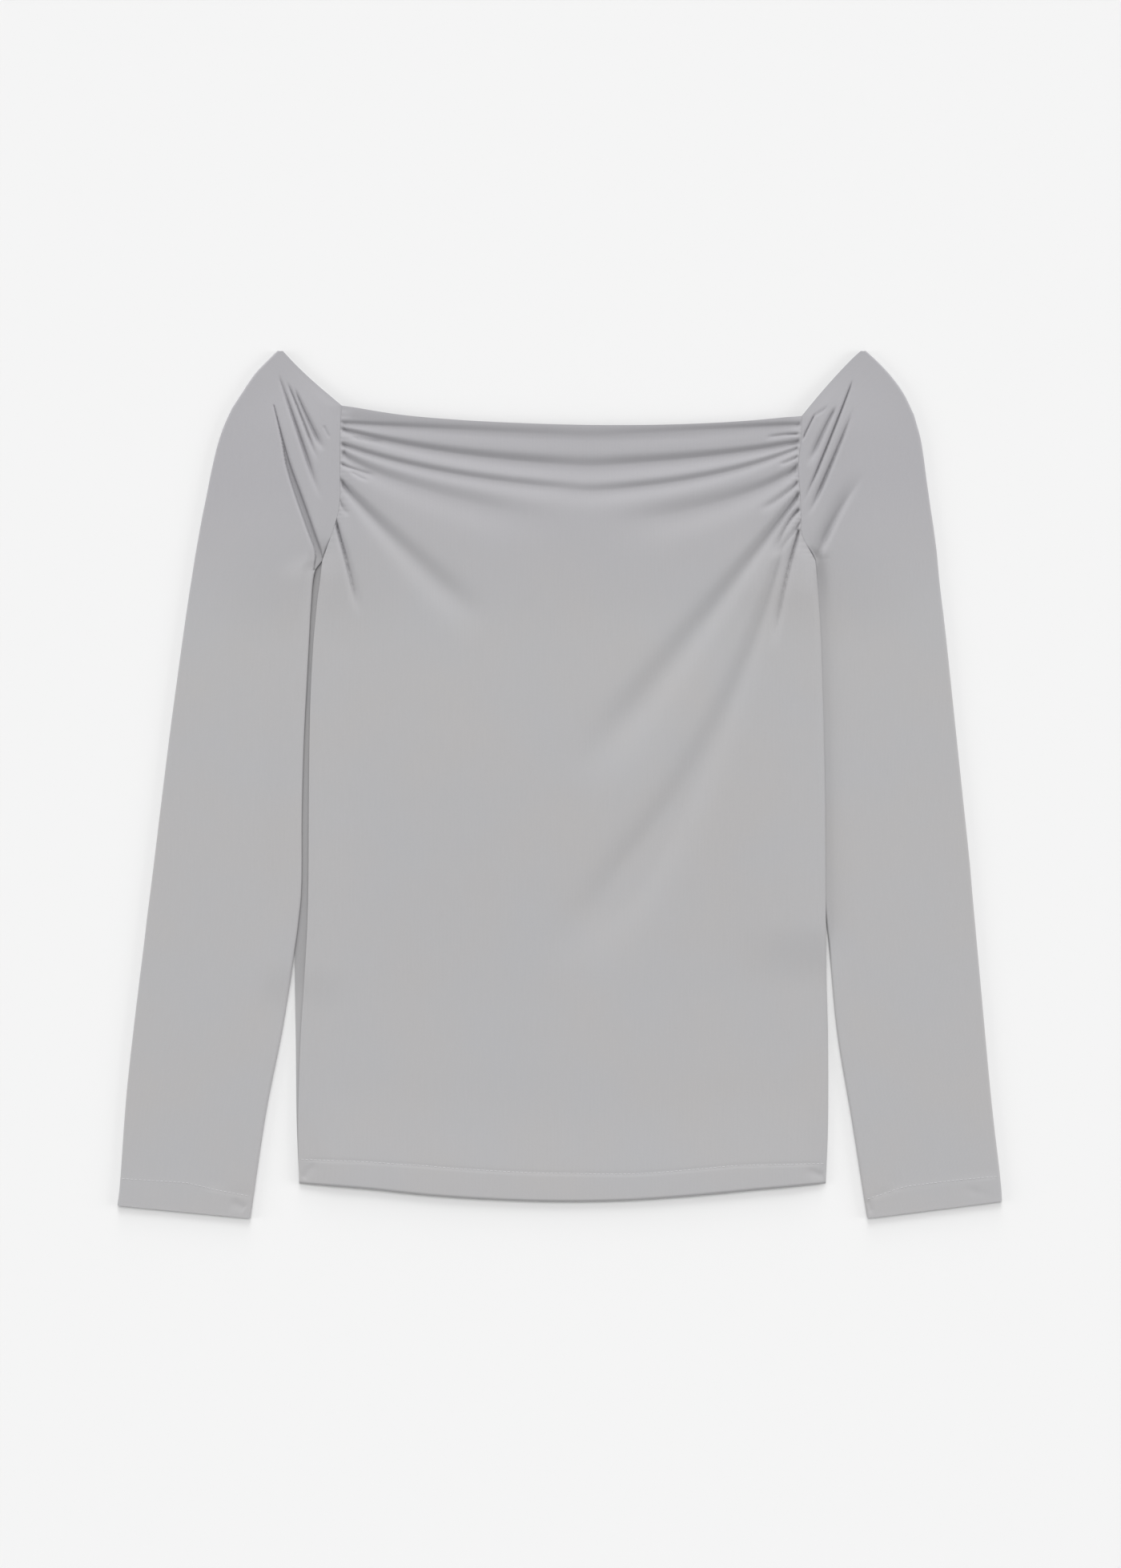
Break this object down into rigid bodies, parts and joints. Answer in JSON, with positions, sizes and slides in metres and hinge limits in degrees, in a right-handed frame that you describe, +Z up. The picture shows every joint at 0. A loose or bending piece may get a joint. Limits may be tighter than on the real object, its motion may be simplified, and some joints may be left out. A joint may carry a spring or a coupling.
{
  "type": "off-shoulder top",
  "caption": "Long-sleeved off-shoulder top in fine jersey, its front gathered into both armhole seams, laid flat on its back.",
  "frame": {"origin": "under the middle of the garment's plan, on the surface it lies on", "axes": "+Z up from the surface, +Y from the hem towards the neckline, +X across the shoulders towards the picture's right"},
  "size_m": [0.6182, 0.6064, 0.0077],
  "materials": {
    "jersey": "matt fine jersey"
  },
  "bodies": {
    "root": {"back_panel": "jersey", "front_panel": "jersey", "sleeve_left": "jersey", "sleeve_right": "jersey"}
  },
  "joints": []
}
